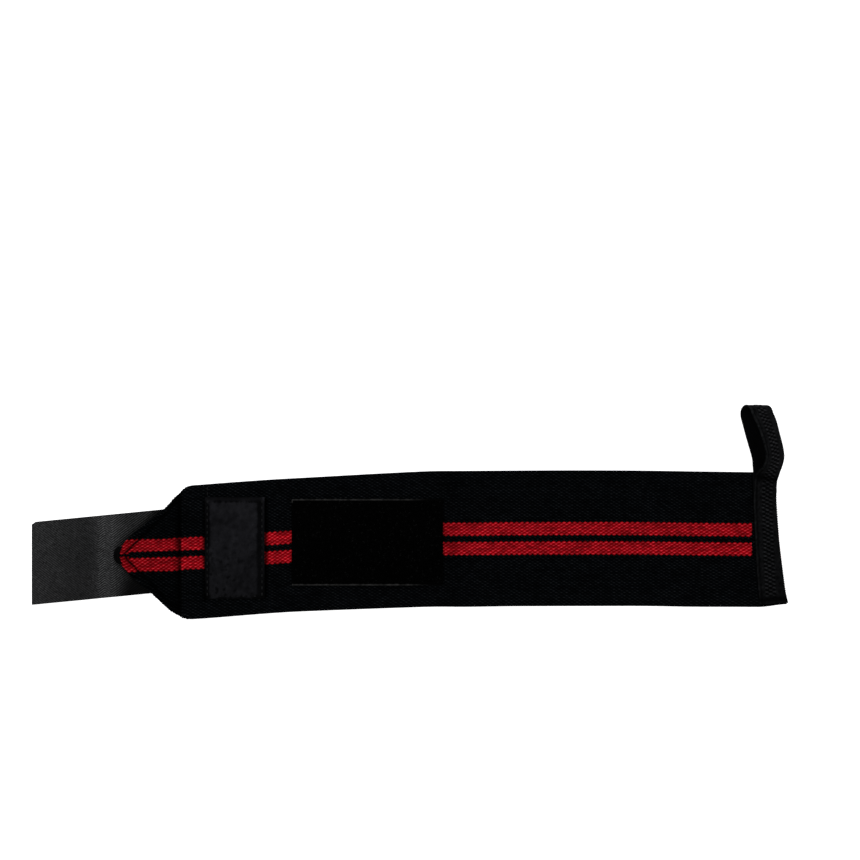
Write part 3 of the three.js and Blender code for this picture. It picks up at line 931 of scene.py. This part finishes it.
def label_look(lie, x, y):
    """A blotched panel that stands up inside a border pressed down by its stitches: painted shade in the
    border and the needle holes, and a painted sheen, lighter near the panel's top
    """
    low, high = lie.sides(x)
    from_left = x - lie.start
    from_top = high - y
    share = from_top / (high - low)
    rng = np.random.default_rng(SEED)
    cloud = 0.6 * patchy(x.shape, 8, rng) + 0.8 * patchy(x.shape, 26, rng)
    panel = ease(0.5 + (panel_inset(lie, x, y) + PANEL_RAGGED * cloud) / PANEL_SLOPE)
    light = np.interp(share, PANEL_DOWN, PANEL_TONES)
    to_left = np.clip(1.3 - from_left / (lie.end - lie.start), 0.3, 1)
    spots = ease((patchy(x.shape, 6, rng) - 0.8) / 0.7) * np.clip(share * 1.7 - 0.3, 0.1, 1) * to_left
    blotched = (1 + 0.2 * cloud) * (1 - PANEL_SPOTS * spots)
    edge_strip = 0.45 * hollow(lie.end - x - 0.7 * MM, 0.6 * MM) * np.clip(1.25 - 1.3 * share, 0, 1)
    top_strip = 0.24 * hollow(from_top - 1.4 * MM, 1.1 * MM) * ease(from_left / (6 * MM))
    border = (BORDER_TONE + edge_strip + top_strip) * (1 + 0.15 * cloud)
    tone = (border + (light * blotched - border) * panel) * (1 - HOLE_SHADE * label_holes(lie, x, y))
    grain = rng.uniform(0.8, 1.2, x.shape)
    return PANEL_HEIGHT * (panel - 0.6), np.full(x.shape, LABEL_RELIEF), tone * grain


def patch_look(lie, x, y):
    return np.zeros(x.shape), np.full(x.shape, 0.35), np.full(x.shape, 1.0)


def over(lie, xs, ys, lift):
    """A path over a flat piece"""
    xs, ys = np.broadcast_arrays(xs, ys)
    return np.stack([xs, ys, lie.top(xs, ys) + lift], -1)


def label_seams(lie):
    """Light stitches down both sides of the label, and small ones along its ends"""
    rows = []
    for x in (lie.start + LABEL_SIDE_SEAM, lie.end - LABEL_SIDE_SEAM):
        low, high = lie.sides(x)
        path = over(lie, x, np.linspace(low + MM, high - MM, 120), -0.12 * MM)
        rows.append(stitches(path, pitch=3.6 * MM, length=1.9 * MM, radius=0.36 * MM))
    pieces = [thread_piece("label_seams", rows, thread, tone=0.8)]
    xs = np.linspace(lie.start + 4 * MM, lie.end - 4 * MM, 80)
    low, high = lie.sides(xs)
    for name, ys, material in (("label_top_seam", high - LABEL_TOP_SEAM, dark_thread),
                               ("label_bottom_seam", low + LABEL_BOTTOM_SEAM, thread)):
        row = stitches(over(lie, xs, ys, -0.15 * MM), HOLE_PITCH, length=1.8 * MM, radius=0.26 * MM)
        pieces.append(thread_piece(name, [row], material, tone=0.8))
    x = lie.start + LABEL_SIDE_SEAM
    _, high = lie.sides(x)
    _, band_high = band.lie.sides(x)
    path = over(band.lie, x, np.linspace(high + 0.5 * MM, band_high - 1.2 * MM, 30), 0)
    row = stitches(path, pitch=3 * MM, length=2 * MM, radius=0.3 * MM, bury=0, lift=0.4 * MM)
    return pieces + [thread_piece("label_seam_end", [row], thread, tone=0.7)]


def patch_selvedge(lie):
    """The light woven edges of the pile tape, with the corner where one is turned in"""
    xs = np.linspace(lie.start + 0.2 * MM, lie.end - 0.6 * MM, SELVEDGE_POINTS)
    low, high = lie.sides(xs)
    ragged = smoothed(np.random.default_rng(SEED).uniform(-1, 1, xs.size), 7)
    share = (xs - lie.start) / (lie.end - lie.start)
    fade = 1 - SELVEDGE_FADE * ease((share - SELVEDGE_FADE_FROM) / SELVEDGE_FADE_RUN)
    turned_in = CORNER_DROP * np.clip(1 - (xs - lie.start) / CORNER_RUN, 0, 1)
    lines = []
    for ys, sunk in ((high - 0.45 * MM - turned_in, 0.35 * MM), (low - 0.25 * MM, 0.3 * MM)):
        lines.append(np.stack([xs, ys + SELVEDGE_WAVER * ragged, lie.top(xs, ys) - sunk], -1))
    radii = np.tile(SELVEDGE_RADIUS * (1 + 0.25 * ragged) * (0.6 + 0.4 * fade), (2, 1))
    points, faces = tubes(np.array(lines), radii, SELVEDGE_SIDES)
    tone = np.repeat(np.tile(fade * (1 + 0.6 * ragged), 2), SELVEDGE_SIDES)
    piece = make_piece("pile_selvedge", points, faces, [selvedge_yarn], relief=0.9, tone=tone)
    return piece


def pile_places(lie, rng):
    """A place for each loop of the pile, scattered in even cells"""
    low, high = lie.sides((lie.start + lie.end) / 2)
    rows = int((high - low - 2 * PILE_MARGIN) / PILE_SPACING)
    i, j = cells(int((lie.end - lie.start - 2 * PILE_MARGIN) / PILE_SPACING), rows)
    x = lie.start + PILE_MARGIN + (i + rng.uniform(0.1, 0.9, i.size)) * PILE_SPACING
    low, high = lie.sides(x)
    down = (j + rng.uniform(0.1, 0.9, j.size)) / rows
    return x, low + PILE_MARGIN + down * (high - low - 2 * PILE_MARGIN)


def pile_loops(lie):
    """Small loops of yarn that stand on the pile tape at all angles"""
    rng = np.random.default_rng(SEED)
    x, y = pile_places(lie, rng)
    turn = rng.uniform(0, math.pi, x.size)
    lean = rng.uniform(-0.4, 0.4, x.size)
    size = rng.uniform(0.7, 1.2, x.size) * PILE_LOOP
    angle = np.linspace(-0.15, 1.15, PILE_RINGS) * math.pi
    out = np.cos(angle)[None, :] * size[:, None]
    rise = np.sin(angle)[None, :] * size[:, None]
    lines = np.stack([
        x[:, None] + out * np.cos(turn)[:, None] - rise * (lean * np.sin(turn))[:, None],
        y[:, None] + out * np.sin(turn)[:, None] + rise * (lean * np.cos(turn))[:, None],
        lie.top(x, y)[:, None] + rise - PILE_YARN,
    ], -1)
    points, faces = tubes(lines, np.full(lines.shape[:2], PILE_YARN), PILE_SIDES)
    relief = np.repeat(rng.uniform(0, 1, x.size) ** 2.5, PILE_RINGS * PILE_SIDES)
    piece = make_piece("pile_loops", points, faces, [pile_fuzz], relief=relief)
    return piece


def hooks(lie):
    """Rows of small hooks in bands across the tab's underside"""
    low, high = lie.sides((lie.start + lie.end) / 2)
    columns = int((lie.end - lie.start - 2 * HOOK_MARGIN) / HOOK_SPACING)
    i, j = cells(columns, int((high - low - 2 * HOOK_MARGIN) / HOOK_SPACING))
    kept = (i % HOOK_GROUP) != HOOK_GROUP - 1
    i = i[kept]
    x = lie.start + HOOK_MARGIN + (i + 0.5) * HOOK_SPACING
    low, _ = lie.sides(x)
    y = low + HOOK_MARGIN + (j[kept] + 0.5) * HOOK_SPACING
    way = np.where(i % 2 == 0, 1.0, -1.0)
    base = lie.top(x, y) - TAB_TAPE
    lines = np.stack([
        np.broadcast_to(x[:, None], (len(x), len(HOOK_OUT))),
        y[:, None] + way[:, None] * HOOK_OUT,
        base[:, None] - HOOK_DOWN,
    ], -1)
    points, faces = tubes(lines, np.full(lines.shape[:2], HOOK_WIRE), 4)
    piece = make_piece("tab_hooks", points, faces, [hook_nylon], relief=0.9, tone=1.3)
    return piece


tab, tab_lie = sheet_piece("hook_tab", "tab_tape", thickness=TAB_TAPE, cell=0.4 * MM, look=tab_look,
                           material=hook_satin, corner=TAB_CORNER)
label, label_lie = sheet_piece("label", "label_patch", thickness=0.8 * MM, cell=0.5 * MM,
                               look=label_look, material=label_cloth)
patch, patch_lie = sheet_piece("pile_patch", "pile_tape", thickness=2.0 * MM, cell=1.0 * MM,
                               look=patch_look, material=pile_fuzz)

hooks(tab_lie)
label_seams(label_lie)
patch_selvedge(patch_lie)
pile_loops(patch_lie)


# Thumb loop

def tape_rings():
    """The rings of the loop tape's solid in order, found by walking over its edges"""
    points, edges = node_mesh("thumb_loop")
    keys = np.round(points / WELD).astype(np.int64)
    _, first, same = np.unique(keys, axis=0, return_index=True, return_inverse=True)
    points = points[first]
    same = same.ravel()
    near = [set() for _ in points]
    for a, b in edges:
        if same[a] != same[b]:
            near[same[a]].add(same[b])
            near[same[b]].add(same[a])
    ring = set(np.argsort(points[:, 1])[:TAPE_RING].tolist())
    seen = set()
    rings = []
    while ring:
        rings.append(sorted(ring))
        seen |= ring
        ring = set().union(*(near[i] for i in ring)) - seen
    return points, rings


def tape_frames():
    """Middle, width and normal of the loop tape at each of its rings"""
    points, rings = tape_rings()
    middles = np.array([points[ring].mean(0) for ring in rings])
    ahead = np.gradient(middles, axis=0)
    ahead = ahead / np.linalg.norm(ahead, axis=1)[:, None]
    widths = []
    for ring in rings:
        shape = points[ring] - points[ring].mean(0)
        _, _, axes = np.linalg.svd(shape)
        wide = axes[0]
        before = widths[-1] if widths else np.array([1.0, 0, 0])
        widths.append(wide if wide @ before > 0 else -wide)
    widths = np.array(widths)
    normals = np.cross(widths, ahead)
    return middles, widths, normals / np.linalg.norm(normals, axis=1)[:, None]


def evenly(middles, columns, step):
    """Resamples a path and its columns at even steps, drawn smoothly through its rings"""
    lengths = path_lengths(middles)
    at = np.linspace(0, lengths[-1], int(lengths[-1] / step) + 1)
    even = []
    for values in (middles, *columns):
        rounded = points_at(at, lengths, values)
        even.append(np.stack([smoothed(rounded[:, k], PATH_SMOOTH) for k in range(3)], 1))
    even[0][0] = middles[0]
    even[0][-1] = middles[-1]
    return at, even


def tape_look(at, across, from_left):
    """The tape's ribs, its two plain borders and the ridge along one of them, and its tones, with painted
    shade in its hem seam, its groove and its bend
    """
    into_ribs = across - RIB_FROM
    column = np.floor(into_ribs / RIB_WIDTH)
    ribbed = (into_ribs > 0) & (column < RIB_COLUMNS) & (at > HEM_LENGTH)
    within = (into_ribs / RIB_WIDTH) % 1 - 0.5
    phase = at / RIB_PITCH + 0.5 * (column % 2) + RIB_SLANT * within
    bar = np.clip(RIB_EDGE * np.cos(2 * math.pi * phase), -1, 1) * (1 - (2 * np.abs(within)) ** 4)
    ribs = np.where(ribbed, bar, 0.0)
    ridge = hollow(from_left - CORD_INSET, CORD_WIDTH)
    groove = hollow(from_left - GROOVE_INSET, GROOVE_WIDTH)
    hem = hollow(at - HEM_SEAM, HEM_SEAM_WIDTH)
    bend = hollow(at - TAPE_BEND, TAPE_BEND_WIDTH)
    lift = RIB_HEIGHT * ribs + CORD_HEIGHT * ridge - GROOVE_DEPTH * groove - HEM_SEAM_DEPTH * hem
    relief = np.clip(0.46 + 0.6 * ribs + 0.2 * ridge - 0.2 * groove, 0, 1)
    # painted shade in the hem seam, across the bend and in the groove
    tone = (1 - 0.7 * hem) * (1 - 0.8 * bend) * (1 - 0.3 * groove)
    past = ease((at - TAPE_BEND) / TAPE_LIGHT_RUN)
    blotched = 1 + TAPE_WEAR * patchy(ribs.shape, 2, np.random.default_rng(SEED))
    return lift, relief, tone * (0.86 + 0.3 * past) * np.clip(blotched, 0.2, 2)


def tape_grid(at, middle, wide, normal):
    """The tape's top and back, as grids of points, and its top's relief and tone"""
    places, *spread = np.array(TAPE_SPREAD).T * MM
    left_side, right_side = (np.interp(at, places, side)[:, None] for side in spread)
    from_left = np.linspace(0, 1, TAPE_ROWS)[None, :] * (left_side + right_side)
    across = from_left - left_side
    lift, relief, tone = tape_look(at[:, None], across, from_left)
    left = hidden_round(np.minimum(from_left, right_side - across), TAPE_ROUND)
    half = TAPE_THICKNESS / 2 * left
    base = middle[:, None, :] + wide[:, None, :] * across[..., None]
    top = base + normal[:, None, :] * (half + lift * left)[..., None]
    bottom = base - normal[:, None, :] * half[..., None]
    return top, bottom, relief, tone, float((left_side + right_side).mean())


def thumb_tape():
    middles, widths, normals = tape_frames()
    at, columns = evenly(middles, (widths, normals), TAPE_CELL)
    kept = at >= HEM_TRIM
    at = at[kept] - HEM_TRIM
    top, bottom, relief, tone, width = tape_grid(at, *(column[kept] for column in columns))
    points, faces = slab(top, bottom)
    upper = 2 * (len(at) - 1) * (TAPE_ROWS - 1)
    inside = np.zeros(len(faces))
    inside[upper:2 * upper] = 1
    piece = make_piece("thumb_tape", points, faces, [tape_yarn, shaded_tape_inside], inside,
                       with_back(relief, BACK_LEVEL), with_back(tone, 1.0))
    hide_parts("thumb_loop")


thumb_tape()


# Underside

def under_row(path):
    """Stitches as they show on an underside"""
    return stitches(path, pitch=3.2 * MM, length=2.3 * MM, radius=0.22 * MM, lift=0, side=-1)


def cross_row(x, node):
    """A row of stitches under the band, across the width of the piece that it holds"""
    low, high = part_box(node)
    ys = np.linspace(low[1] + ROW_MARGIN, high[1] - ROW_MARGIN, UNDER_POINTS)
    return under_row(on_band(x - band.start, ys - float(band.centre(x)), FOLD_INNER))


def v_rows():
    """The V seam's rows underneath, on the tab where it lies under them"""
    rows = []
    for path in v_seam(FOLD_OUTER):
        low, high = tab_lie.sides(path[:, 0])
        over_tab = (path[:, 1] > low) & (path[:, 1] < high) & (path[:, 0] < tab_lie.end)
        tab_bottom = tab_lie.top(path[:, 0], path[:, 1]) - TAB_TAPE
        path[:, 2] = np.where(over_tab, tab_bottom, path[:, 2] - 2 * FOLD_OUTER)
        rows.append(under_row(path))
    return rows


def under_seams():
    """What shows underneath of the rows that hold the label, the pile patch, the loop and the tab"""
    rows = []
    for node in ("label", "pile_patch"):
        low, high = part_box(node)
        rows.append(cross_row(low[0] + LABEL_SIDE_SEAM, node))
        rows.append(cross_row(high[0] - LABEL_SIDE_SEAM, node))
    low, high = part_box("pile_patch")
    xs = np.linspace(low[0] + ROW_MARGIN, high[0] - ROW_MARGIN, UNDER_POINTS)
    for side in patch_lie.sides(xs):
        inward = np.sign(band.centre(xs) - side) * LABEL_SIDE_SEAM
        rows.append(under_row(on_band(xs - band.start, side + inward - band.centre(xs), FOLD_INNER)))
    for from_end in END_ROWS:
        rows.append(under_row(row_across(band.length - from_end, FOLD_INNER)))
    return thread_piece("under_seams", rows + v_rows(), thread, tone=0.7)


def end_overlock():
    """Threads wound over the band's raw end, dark red where the stripes run out"""
    half = band.half - ROW_MARGIN
    across = np.linspace(-half, half, int(2 * half / OVERLOCK_PITCH))
    slant = np.linspace(-0.5, 0.5, STITCH_RINGS) * OVERLOCK_PITCH
    lines = on_band(band.length + OVERLOCK_ALONG, across[:, None] + slant, OVERLOCK_OUT + FOLD_INNER)
    radii = np.full(lines.shape[:2], OVERLOCK_RADIUS)
    red = is_striped((across + band.half) / (2 * band.half) * BEAD_ROWS - 0.5)
    return [thread_piece("end_overlock", [(lines[~red], radii[~red])], thread, tone=0.6),
            thread_piece("end_overlock_red", [(lines[red], radii[red])], red_yarn, tone=0.25)]


point_seams()
end_bar()
under_seams()
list(end_overlock())


# Floor, light and camera

def make_floor():
    bpy.ops.mesh.primitive_plane_add(size=FLOOR_SIZE, location=(PICTURE_X, PICTURE_Y, -FLOOR_BELOW))
    floor = bpy.context.object
    floor.name = "floor"
    material, _, _, shader = new_material("floor_white")
    set_inputs(shader, {"Base Color": (FLOOR_WHITE, FLOOR_WHITE, FLOOR_WHITE, 1), "Roughness": 0.9,
                        "Specular IOR Level": 0.0, "Emission Color": (1, 1, 1, 1),
                        "Emission Strength": FLOOR_GLOW})
    floor.data.materials.append(material)


def area_light(name, place, size, power):
    light = bpy.data.lights.new(name, "AREA")
    light.energy = power
    light.size = size
    lamp = new_object(name, light)
    lamp.location = place
    aim = Vector((0, 0, 0)) - Vector(place)
    lamp.rotation_euler = aim.to_track_quat("-Z", "Y").to_euler()


def make_world():
    world = bpy.data.worlds.new("studio")
    world.use_nodes = True
    set_inputs(world.node_tree.nodes["Background"], {"Color": (1, 1, 1, 1), "Strength": WORLD_LIGHT})
    bpy.context.scene.world = world


def make_camera():
    camera = bpy.data.cameras.new("camera")
    camera.sensor_width = SENSOR
    camera.lens = SENSOR * CAMERA_HEIGHT / PICTURE_WIDTH
    eye = new_object("camera", camera)
    eye.location = (PICTURE_X, PICTURE_Y, CAMERA_HEIGHT)
    bpy.context.scene.camera = eye


make_floor()
make_world()
area_light("key", place=(-0.9, 0.9, 1.3), size=0.8, power=14)
area_light("fill", place=(0.9, -0.6, 1.5), size=1.2, power=6)
make_camera()
bpy.context.scene.view_settings.view_transform = "Standard"
